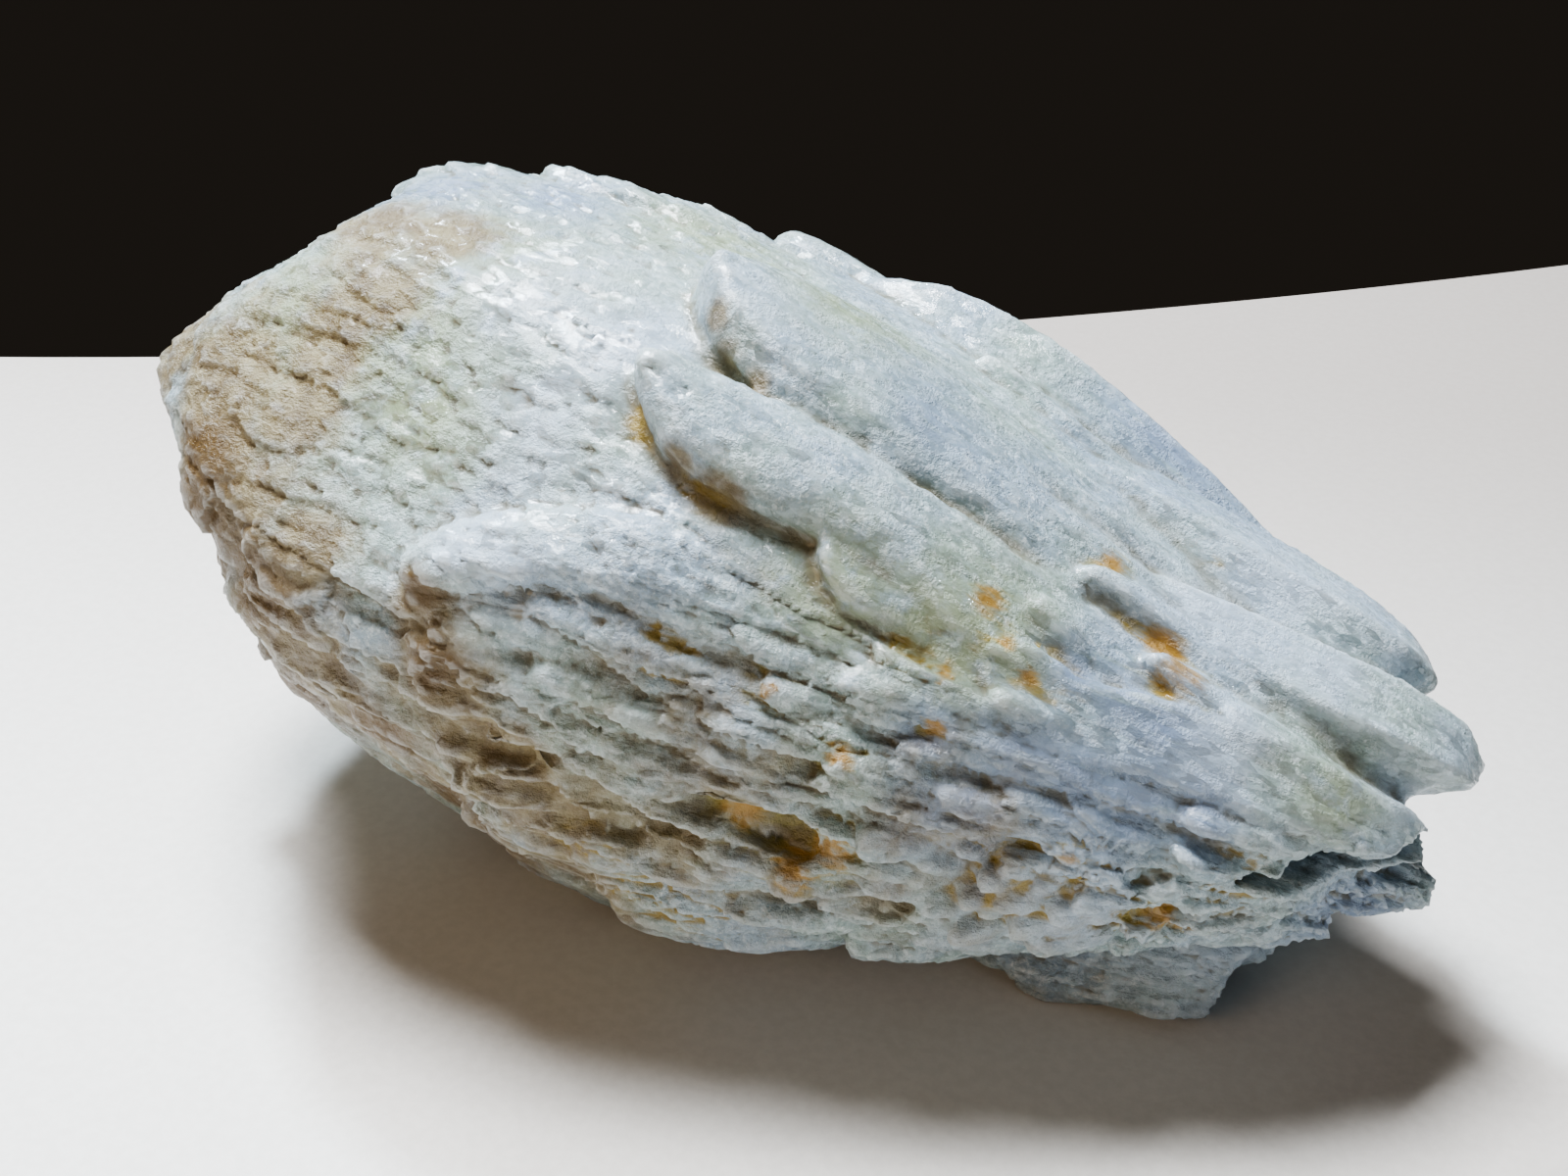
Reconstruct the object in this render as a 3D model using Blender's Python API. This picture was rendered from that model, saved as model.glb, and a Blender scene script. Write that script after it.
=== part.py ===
"""Prase quartz: a fist-sized sheaf of quartz crystals grown together in one piece.

The crystals fan out from a root beyond the narrow end (+X) and overlap like scales, with their points
towards the wide end (-X). The stone lies on its worn belly and on a foot of slab-like crystals.
Frame: +Z up, X along the stone, the side that shows best facing -Y, origin at the ground under the middle.
Lengths in the tables are millimetres; angles round the stone are degrees, 0 at the front (-Y), 90 at the
top, 180 at the back and 270 underneath.
"""

import random

import bmesh
import bpy
import numpy as np
from mathutils import Matrix

MM = 0.001

# The grown-together mass: along X, middle Y, middle Z, reach to the front, to the back, up and down.
SECTIONS = np.array([
    (-61.0, 4.0, 37.0, 4.0, 4.0, 5.0, 4.0),
    (-58.0, 4.0, 37.0, 14.0, 13.0, 12.0, 11.0),
    (-50.0, 3.0, 36.0, 23.0, 21.0, 19.5, 19.0),
    (-38.0, 1.0, 34.0, 28.0, 28.0, 26.5, 25.5),
    (-20.0, 0.0, 32.0, 31.5, 33.0, 28.0, 31.5),
    (0.0, 0.0, 29.0, 31.0, 32.0, 26.0, 31.0),
    (20.0, 0.0, 26.0, 28.5, 25.0, 21.0, 23.0),
    (40.0, -2.0, 23.0, 21.5, 17.0, 13.5, 13.0),
    (50.0, -5.0, 22.0, 14.0, 10.0, 9.0, 8.0),
    (56.0, -8.0, 21.0, 4.0, 3.0, 3.0, 3.0),
])
SQUARENESS = 2.3
# Large flat faces that bound the mass: outward direction, a point on the face.
FLAT_FACES = (
    ((-0.30, -0.80, -0.52), (-32.0, -21.5, 18.0)),
    ((-0.05, -0.68, 0.73), (-20.0, -22.0, 49.5)),
    ((-0.75, -0.55, -0.25), (-48.2, -15.0, 32.5)),
    ((-0.60, 0.10, 0.77), (-46.0, 3.0, 54.5)),
)
FACE_SOFTNESS = 0.8
RINGS_ALONG = 27
POINTS_ROUND = 32
GROUND_SIZE = 400.0
GROUND_DEPTH = 40.0

# Long crystals lying in the skin. Each row is a place on the crest, from the point to the root:
# along, round, height above the skin, width. The number before the rows is the thickness.
BLADES = (
    (12.0, ((-3.0, 74.5, 3.8, 8.5), (2.5, 77.5, 3.2, 11.0), (8.7, 77.0, 2.8, 13.0), (15.0, 76.0, 2.6, 13.0),
            (23.0, 72.0, 2.6, 12.0), (31.0, 66.0, 2.0, 9.0), (40.0, 58.0, 0.5, 6.0))),
    (11.0, ((-7.5, 58.0, 3.6, 5.0), (-2.5, 55.5, 3.6, 8.0), (4.0, 53.0, 3.0, 10.0), (10.5, 50.0, 2.6, 10.5),
            (17.0, 46.0, 2.4, 10.0), (24.0, 42.0, 2.0, 9.0), (32.0, 36.0, 1.2, 7.0), (42.0, 30.0, 0.4, 4.0))),
    (7.0, ((15.0, 60.0, 3.4, 2.5), (19.0, 58.0, 3.0, 4.5), (25.0, 55.0, 2.4, 6.0), (34.0, 50.0, 0.8, 5.0))),
    (6.0, ((10.5, 39.5, 2.4, 2.5), (13.6, 38.0, 2.2, 4.5), (18.0, 35.0, 1.6, 5.0), (25.0, 30.0, 0.3, 4.0))),
    (4.0, ((4.0, 39.0, 1.8, 2.0), (7.0, 38.5, 1.5, 3.2), (12.0, 35.0, 0.4, 3.0))),
    (9.0, ((-22.0, 24.0, 3.0, 7.0), (-15.0, 24.0, 2.4, 12.0), (-6.0, 25.0, 2.0, 14.0), (3.0, 24.0, 1.8, 13.0),
           (11.0, 22.0, 1.2, 11.0), (20.0, 20.0, 0.3, 8.0))),
    (8.0, ((-19.5, 11.0, 3.8, 4.5), (-13.0, 13.0, 3.0, 8.5), (-3.0, 13.0, 2.2, 10.0), (8.0, 12.0, 0.6, 8.0))),
    (8.0, ((-15.5, 0.0, 4.2, 4.5), (-9.0, 2.0, 3.2, 8.0), (1.0, 4.0, 2.4, 9.0), (12.0, 5.0, 0.6, 7.0))),
    (8.0, ((-10.5, 348.0, 4.0, 4.5), (-4.0, 350.0, 3.2, 8.0), (6.0, 353.0, 2.4, 9.0), (18.0, 357.0, 0.6, 7.0))),
    (4.0, ((21.5, 82.0, 4.0, 2.0), (25.0, 80.0, 3.8, 4.0), (34.0, 75.0, 1.8, 3.0))),
    (4.5, ((27.5, 90.0, 3.6, 2.5), (31.0, 88.0, 3.0, 4.5), (40.0, 82.0, 1.0, 4.0))),
    (5.0, ((29.5, 58.0, 3.2, 3.0), (33.0, 56.0, 2.8, 4.5), (42.0, 50.0, 0.8, 4.0))),
    (5.0, ((36.0, 45.0, 3.4, 3.0), (39.0, 43.0, 3.0, 4.5), (47.0, 38.0, 0.8, 4.0))),
    (5.0, ((41.5, 41.0, 3.6, 3.0), (45.0, 37.0, 3.0, 5.0), (54.0, 28.0, 0.5, 5.0))),
)
# Crystals that stand clear of the mass. Each row is a place on the crest, from the free end to the root:
# x, y, z, width. Before the rows: the thickness and the direction that the crest faces.
CLEAR_CRYSTALS = (
    (12.0, (0.3, 0.25, 0.95), ((56.5, 1.0, 31.0, 9.0), (52.0, 1.5, 34.5, 13.0), (45.0, 3.0, 37.5, 14.0),
                               (36.0, 5.0, 40.5, 13.0), (25.0, 7.0, 43.5, 9.0))),
    (12.0, (0.35, -0.3, 0.9), ((61.0, -7.5, 27.5, 9.0), (56.0, -8.3, 31.2, 11.5), (48.5, -9.0, 34.5, 12.0),
                               (41.0, -8.5, 37.0, 11.0), (32.0, -8.0, 40.0, 8.0))),
    (11.0, (0.4, -0.65, 0.65), ((58.0, -14.0, 23.5, 7.0), (53.0, -16.8, 27.0, 10.0), (46.0, -19.0, 30.5, 12.0),
                                (38.0, -20.5, 33.5, 12.0), (28.0, -23.0, 36.5, 9.0))),
    (8.0, (0.2, -0.9, 0.2), ((59.5, -12.5, 17.0, 5.0), (55.0, -14.5, 17.5, 6.0), (47.0, -17.5, 18.0, 7.0),
                             (36.0, -21.0, 20.0, 8.0))),
    (7.0, (0.1, -0.95, -0.1), ((51.5, -16.5, 14.0, 3.0), (47.0, -18.0, 14.0, 5.0), (38.0, -20.0, 15.0, 6.0))),
    (16.0, (0.35, 0.6, 0.7), ((47.0, 10.0, 30.0, 10.0), (39.0, 14.0, 35.5, 16.0), (30.0, 17.5, 40.5, 19.0),
                              (19.0, 20.5, 46.0, 19.0), (8.0, 21.5, 49.5, 16.0), (0.0, 20.5, 50.0, 10.0))),
    (12.0, (-0.6, 0.1, 0.8), ((-62.0, 6.5, 42.0, 12.0), (-58.0, 7.0, 47.5, 16.0), (-51.0, 7.0, 51.5, 16.0),
                              (-44.0, 7.0, 54.0, 12.0))),
    (12.0, (-0.8, -0.3, -0.1), ((-60.5, -4.0, 31.0, 7.0), (-58.5, -3.0, 35.0, 12.0),
                                (-56.0, -2.0, 41.0, 12.0))),
    (11.0, (0.0, -0.25, 1.0), ((48.0, -9.0, 7.0, 11.0), (43.0, -9.5, 9.0, 17.0), (33.0, -9.5, 9.0, 18.0),
                               (18.0, -7.0, 9.0, 15.0))),
    (5.0, (0.0, -0.3, 1.0), ((26.5, -16.0, 2.5, 2.5), (30.0, -15.5, 3.5, 4.5), (40.0, -13.0, 5.0, 5.0))),
    (9.0, (-0.1, -0.6, 0.8), ((-25.0, -12.0, 6.5, 7.0), (-20.0, -12.5, 6.5, 11.0), (-8.0, -12.5, 7.0, 12.0),
                              (8.0, -12.0, 7.0, 9.0))),
)
# Gaps between crystals, each row a place on the middle of the gap from the deep end out: x, y, z, width.
# Before the rows: how tall the gap is and the direction across it.
GAPS = (
    (1.8, (0.1, -0.3, 0.95), ((38.0, -17.0, 26.5, 3.0), (46.0, -17.0, 24.3, 7.0), (66.0, -14.0, 20.5, 12.0))),
    (1.6, (0.0, -0.2, 1.0), ((33.0, -20.0, 9.6, 3.0), (39.0, -18.0, 9.8, 8.0), (56.0, -17.0, 9.8, 14.0))),
    (2.6, (-0.1, -0.7, 0.7), ((-3.5, -31.5, 24.5, 2.0), (-7.0, -31.0, 25.0, 5.0), (-14.0, -30.0, 26.0, 6.0))),
    (2.4, (-0.1, -0.7, 0.7), ((8.0, -32.0, 23.0, 2.0), (4.5, -32.0, 23.4, 4.0), (-2.0, -32.5, 24.0, 5.0))),
)
# Bands of crystals that overlap like scales: how many, along from and to, round from and to,
# length, width, how far their points stand out.
BANDS = (
    (15, (-54.0, -14.0), (35.0, 95.0), 9.0, 5.5, 0.4),
    (10, (-50.0, -30.0), (-25.0, 20.0), 9.0, 4.5, 0.6),
    (34, (-15.0, 24.0), (-26.0, 18.0), 11.0, 3.2, 3.2),
    (16, (16.0, 42.0), (-30.0, 14.0), 9.0, 2.8, 2.2),
    (8, (-44.0, -20.0), (138.0, 230.0), 24.0, 13.0, 2.2),
    (14, (-20.0, 26.0), (132.0, 238.0), 24.0, 10.0, 2.6),
    (5, (-34.0, 10.0), (240.0, 280.0), 20.0, 8.0, 1.4),
)
BAND_SEED = 2
# Corners of a crystal seen along its length: sideways in half widths, depth in thicknesses.
SIX_SIDES = np.array(((-0.5, 0.0), (0.5, 0.0), (1.0, 0.5), (0.5, 1.0), (-0.5, 1.0), (-1.0, 0.5)))


def section_at(along):
    """Middle and reaches of the mass at these places along X, as a smooth curve through SECTIONS."""
    knots = SECTIONS[:, 0]
    low = np.clip(np.searchsorted(knots, along) - 1, 0, len(knots) - 2)
    step = np.diff(knots)[:, None]
    rise = np.diff(SECTIONS[:, 1:], axis=0) / step
    inner = (rise[:-1] * step[1:] + rise[1:] * step[:-1]) / (step[1:] + step[:-1])
    inner = np.where(rise[:-1] * rise[1:] <= 0, inner * 0.5, inner)
    slope = np.vstack([rise[:1], inner, rise[-1:]])
    h = step[low]
    t = (along - knots[low])[..., None] / h
    return (
        (2 * t**3 - 3 * t**2 + 1) * SECTIONS[low, 1:]
        + (t**3 - 2 * t**2 + t) * h * slope[low]
        + (3 * t**2 - 2 * t**3) * SECTIONS[low + 1, 1:]
        + (t**3 - t**2) * h * slope[low + 1]
    )


def skin(along, around):
    """Points on the mass: a rounded section at each place along X, cut by the flat faces."""
    along, around = np.broadcast_arrays(np.asarray(along, float), np.asarray(around, float))
    middle_y, middle_z, front, back, up, down = np.moveaxis(section_at(along), -1, 0)
    cos, sin = np.cos(np.radians(around)), np.sin(np.radians(around))
    wide, tall = np.where(cos > 0, front, back), np.where(sin > 0, up, down)
    reach = (np.abs(cos / wide) ** SQUARENESS + np.abs(sin / tall) ** SQUARENESS) ** (-1 / SQUARENESS)
    for outward, point in FLAT_FACES:
        nx, ny, nz = np.array(outward) / np.linalg.norm(outward)
        facing = -ny * cos + nz * sin
        room = nx * (point[0] - along) + ny * (point[1] - middle_y) + nz * (point[2] - middle_z)
        limit = np.clip(room / np.maximum(facing, 1e-3), 0.5, 1e3)
        softened = -FACE_SOFTNESS * np.logaddexp(-reach / FACE_SOFTNESS, -limit / FACE_SOFTNESS)
        reach = np.where(facing > 1e-3, np.maximum(softened, 0.5), reach)
    return np.stack([along, middle_y - reach * cos, middle_z + reach * sin], -1)


def outward_at(along, around):
    """Unit vector out of the skin at one place."""
    step = 0.5
    lengthways = skin(along + step, around) - skin(along - step, around)
    sideways = skin(along, around + step) - skin(along, around - step)
    out = np.cross(lengthways, sideways)
    middle = section_at(np.array([along]))[0]
    out *= np.sign(out @ (skin(along, around) - np.array((along, middle[0], middle[1]))))
    return out / np.linalg.norm(out)


def add_material(name, colour, roughness):
    material = bpy.data.materials.new(name)
    material.use_nodes = True
    shader = material.node_tree.nodes["Principled BSDF"]
    shader.inputs["Base Color"].default_value = (*colour, 1.0)
    shader.inputs["Roughness"].default_value = roughness
    shader.inputs["Metallic"].default_value = 0.0
    return material


def mass(collection):
    """The grown-together mass as a loft of closed rings with flat ends."""
    along = np.linspace(SECTIONS[0, 0] + 0.3, SECTIONS[-1, 0] - 0.3, RINGS_ALONG)
    around = np.arange(POINTS_ROUND) * 360.0 / POINTS_ROUND
    points = skin(along[:, None], around[None, :]) * MM
    bm = bmesh.new()
    rings = [[bm.verts.new(point) for point in ring] for ring in points]
    for one, two in zip(rings, rings[1:]):
        for k in range(POINTS_ROUND):
            n = (k + 1) % POINTS_ROUND
            bm.faces.new((one[k], one[n], two[n], two[k]))
    for ring in (rings[0], rings[-1]):
        bm.faces.new(ring)
    bmesh.ops.triangulate(bm, faces=bm.faces)
    return finished(bm, "prase_quartz", collection)


def finished(bm, name, collection):
    """A new object of this mesh, with its faces pointing out."""
    bmesh.ops.recalc_face_normals(bm, faces=bm.faces)
    mesh = bpy.data.meshes.new(name)
    bm.to_mesh(mesh)
    bm.free()
    obj = bpy.data.objects.new(name, mesh)
    collection.objects.link(obj)
    return obj


def crystal(collection, crest, facing, width, thickness, point):
    """A six-sided crystal hung below its crest line, from its point to its root; lengths in mm."""
    away = crest - np.vstack([crest[1:], 2 * crest[-1:] - crest[-2:-1]])
    away /= np.linalg.norm(away, axis=1, keepdims=True)
    side = np.cross(away, facing)
    side /= np.linalg.norm(side, axis=1, keepdims=True)
    out = np.cross(side, away)
    peak = crest[0] + away[0] * point - out[0] * thickness * 0.35
    bm = bmesh.new()
    rings = []
    for k in range(len(crest)):
        corners = crest[k] + side[k] * SIX_SIDES[:, :1] * width[k] / 2 - out[k] * SIX_SIDES[:, 1:] * thickness
        rings.append([bm.verts.new(corner * MM) for corner in corners])
    for one, two in zip(rings, rings[1:]):
        for k in range(6):
            n = (k + 1) % 6
            bm.faces.new((one[k], one[n], two[n], two[k]))
    bm.faces.new(rings[-1])
    end = bm.faces.new(rings[0])
    bmesh.ops.poke(bm, faces=[end])["verts"][0].co = peak * MM
    bmesh.ops.triangulate(bm, faces=bm.faces)
    obj = finished(bm, "crystal", collection)
    obj.hide_render = True
    obj.display_type = "WIRE"


def blade(collection, thickness, rows):
    """A long crystal whose crest follows the skin at the given heights."""
    facing = np.array([outward_at(row[0], row[1]) for row in rows])
    crest = np.array([skin(row[0], row[1]) for row in rows]) + facing * np.array(rows)[:, 2:3]
    width = np.array(rows)[:, 3]
    crystal(collection, crest, facing, width, thickness, width[0] * 0.3)


def clear_crystal(collection, thickness, facing, rows):
    """A crystal whose crest runs through the given points."""
    rows = np.array(rows)
    facing = np.broadcast_to(np.array(facing), (len(rows), 3))
    crystal(collection, rows[:, :3], facing, rows[:, 3], thickness, rows[0, 3] * 0.3)


def gap(collection, height, across, rows):
    """A gap whose middle runs through the given points."""
    rows = np.array(rows)
    across = np.broadcast_to(np.array(across) / np.linalg.norm(across), (len(rows), 3))
    crystal(collection, rows[:, :3] + across * height / 2, across, rows[:, 3], height, rows[0, 3] * 0.4)


def scale_band(collection, dice, count, along, around, length, width, stands_out):
    """Crystals scattered over a band of the skin, each following the skin away from its point."""
    for _ in range(count):
        x, turn = dice.uniform(*along), dice.uniform(*around)
        size = dice.uniform(0.7, 1.35)
        lean = dice.uniform(-3.0, 3.0)
        rows = (
            (x, turn, stands_out * size, width * size * 0.6),
            (x + length * size * 0.4, turn + lean * 0.4, stands_out * size * 0.8, width * size),
            (min(x + length * size, 53.0), turn + lean, 0.0, width * size * 0.8),
        )
        blade(collection, width * size * 0.9, rows)


def ground_block(collection):
    """Everything under the level that the stone lies on."""
    size = Matrix.Diagonal((GROUND_SIZE, GROUND_SIZE, GROUND_DEPTH, 1.0))
    drop = Matrix.Translation((0.0, 0.0, -GROUND_DEPTH / 2))
    bm = bmesh.new()
    bmesh.ops.create_cube(bm, size=1.0, matrix=Matrix.Scale(MM, 4) @ drop @ size)
    ground = finished(bm, "ground", collection)
    ground.hide_render = True
    ground.display_type = "WIRE"


def combine(body, name, operation, operands):
    """Joins a collection of shapes to the body, or cuts it away."""
    modifier = body.modifiers.new(name, "BOOLEAN")
    modifier.operation = operation
    modifier.operand_type = "COLLECTION"
    modifier.collection = operands
    modifier.solver = "EXACT"


def add_collection(name, parent):
    collection = bpy.data.collections.new(name)
    parent.children.link(collection)
    return collection


def main():
    for obj in list(bpy.data.objects):
        bpy.data.objects.remove(obj)
    scene = bpy.context.scene.collection
    stone = add_collection("Prase quartz", scene)
    crystals = add_collection("Crystals", scene)
    cuts = add_collection("Gaps and ground", scene)
    body = mass(stone)
    body.data.materials.append(add_material("quartz", (0.62, 0.68, 0.64), 0.55))
    for entry in BLADES:
        blade(crystals, *entry)
    for entry in CLEAR_CRYSTALS:
        clear_crystal(crystals, *entry)
    dice = random.Random(BAND_SEED)
    for entry in BANDS:
        scale_band(crystals, dice, *entry)
    for entry in GAPS:
        gap(cuts, *entry)
    ground_block(cuts)
    combine(body, "Grow together", "UNION", crystals)
    combine(body, "Open gaps and wear flat", "DIFFERENCE", cuts)


main()
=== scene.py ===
"""Looks of the prase quartz: a fist-sized sheaf of frosted green-white quartz crystals grown together.

The stone is worked out as numpy surfaces: the grown-together mass, the long crystals lying in its skin, the
round-ended crystals of the narrow end, the foot, and the needles between them. They are fused into one
closed surface, which then gets its fine relief: crystal scales that follow the fan, pits and sugar grain.
Lengths are millimetres until a mesh is made; +Z up, X along the stone, the side that shows best facing -Y.
"""

import math

import bpy
import numpy as np
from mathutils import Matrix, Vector


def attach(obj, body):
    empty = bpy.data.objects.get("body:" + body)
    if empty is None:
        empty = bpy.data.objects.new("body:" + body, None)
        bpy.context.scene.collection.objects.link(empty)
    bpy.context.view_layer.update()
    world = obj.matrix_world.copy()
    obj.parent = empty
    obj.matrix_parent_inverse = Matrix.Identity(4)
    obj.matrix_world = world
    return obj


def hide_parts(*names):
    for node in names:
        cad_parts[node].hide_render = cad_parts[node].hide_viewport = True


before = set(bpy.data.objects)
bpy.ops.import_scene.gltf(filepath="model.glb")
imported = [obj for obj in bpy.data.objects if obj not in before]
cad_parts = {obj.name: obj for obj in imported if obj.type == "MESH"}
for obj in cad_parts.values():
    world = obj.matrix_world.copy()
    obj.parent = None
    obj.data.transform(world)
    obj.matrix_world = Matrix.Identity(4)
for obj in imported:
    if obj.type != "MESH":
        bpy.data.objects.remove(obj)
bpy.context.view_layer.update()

MM = 0.001

# The camera of the photograph: what it looks at and from how far (metres), its turn round the stone and its
# height (degrees), its lens and sensor (mm), and the photograph's width and height in pixels.
CAMERA_AIM = Vector((0.0, 0.0, 0.028))
CAMERA_DISTANCE = 0.172
CAMERA_TURN = 18.0
CAMERA_HEIGHT = 32.0
CAMERA_LENS = 42.75
SENSOR = 36.0
PHOTO = (1600, 1200)

# The grown-together mass: along X, middle Y, middle Z, reach to the front, to the back, up and down.
SECTIONS = np.array([
    (-61.0, 4.0, 37.0, 4.0, 4.0, 5.0, 4.0),
    (-58.0, 4.0, 37.0, 14.0, 13.0, 12.0, 11.0),
    (-50.0, 3.0, 36.0, 23.0, 21.0, 19.5, 19.0),
    (-38.0, 1.0, 34.0, 28.0, 28.0, 26.5, 25.5),
    (-20.0, 0.0, 32.0, 31.5, 33.0, 28.0, 31.5),
    (0.0, 0.0, 29.0, 31.0, 32.0, 26.0, 31.0),
    (20.0, 0.0, 26.0, 28.5, 25.0, 21.0, 23.0),
    (40.0, -2.0, 23.0, 21.5, 17.0, 13.5, 13.0),
    (50.0, -5.0, 22.0, 14.0, 10.0, 9.0, 8.0),
    (56.0, -8.0, 21.0, 4.0, 3.0, 3.0, 3.0),
])
SQUARENESS = 2.3
# Large flat faces that bound the mass: outward direction, a point on the face.
FLAT_FACES = (
    ((-0.30, -0.80, -0.52), (-32.0, -21.5, 18.0)),
    ((-0.05, -0.68, 0.73), (-20.0, -22.0, 49.5)),
    ((-0.75, -0.55, -0.25), (-48.2, -15.0, 32.5)),
    ((-0.60, 0.10, 0.77), (-46.0, 3.0, 54.5)),
)
FACE_SOFTNESS = 0.8
# Where the lines of the crystals meet, beyond the narrow end.
FAN_ROOT = np.array((108.0, -8.0, 6.0))
FAN_REACH = 100.0

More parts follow.
